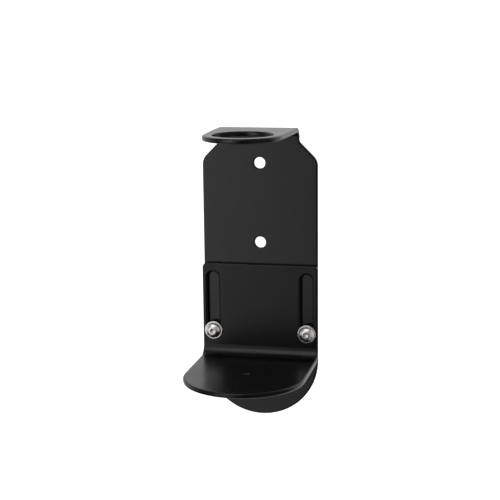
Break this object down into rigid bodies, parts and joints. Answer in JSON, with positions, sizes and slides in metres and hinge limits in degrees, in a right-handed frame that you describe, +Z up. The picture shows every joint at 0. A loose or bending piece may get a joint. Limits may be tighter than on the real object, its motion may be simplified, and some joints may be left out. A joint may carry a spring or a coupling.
{
  "type": "hair dryer holder",
  "caption": "Wall bracket of bent black sheet steel: a back plate whose top folds forward into a ring, and a height-adjustable D-shaped shelf clamped by slotted screws.",
  "frame": {"origin": "on the wall plane, midway between the two wall holes", "axes": "+Z up, -Y out of the wall towards the user, +X to the user's right"},
  "size_m": [0.071, 0.0845, 0.177],
  "materials": {
    "black_powder_coat": "satin black powder coat",
    "stainless_steel": "bright stainless steel"
  },
  "bodies": {
    "back": {"back_plate": "black_powder_coat"},
    "shelf": {"shelf_bracket": "black_powder_coat"},
    "washer_left": {"washer_left": "stainless_steel"},
    "screw_left": {"clamp_screw_left": "stainless_steel"},
    "washer_right": {"washer_right": "stainless_steel"},
    "screw_right": {"clamp_screw_right": "stainless_steel"}
  },
  "joints": [
    {"name": "shelf_slide", "type": "slide", "parent": "back", "child": "shelf", "axis": [0, 0, 1], "range_m": [-0.0335, 0]},
    {"name": "washer_left_slide", "type": "slide", "parent": "back", "child": "washer_left", "axis": [0, -1, 0], "range_m": [0, 0.0008]},
    {"name": "screw_left_turn", "type": "hinge", "parent": "washer_left", "child": "screw_left", "pos_m": [-0.0288, -0.0065, -0.0787], "axis": [0, -1, 0], "range_deg": [0, 361]},
    {"name": "washer_right_slide", "type": "slide", "parent": "back", "child": "washer_right", "axis": [0, -1, 0], "range_m": [0, 0.0008]},
    {"name": "screw_right_turn", "type": "hinge", "parent": "washer_right", "child": "screw_right", "pos_m": [0.0288, -0.0065, -0.0787], "axis": [0, -1, 0], "range_deg": [0, 361]}
  ],
  "couplings": [
    {"joint": "screw_left_turn", "follows": "washer_left_slide", "rad_per_m": 7854},
    {"joint": "screw_right_turn", "follows": "washer_right_slide", "rad_per_m": 7854}
  ]
}
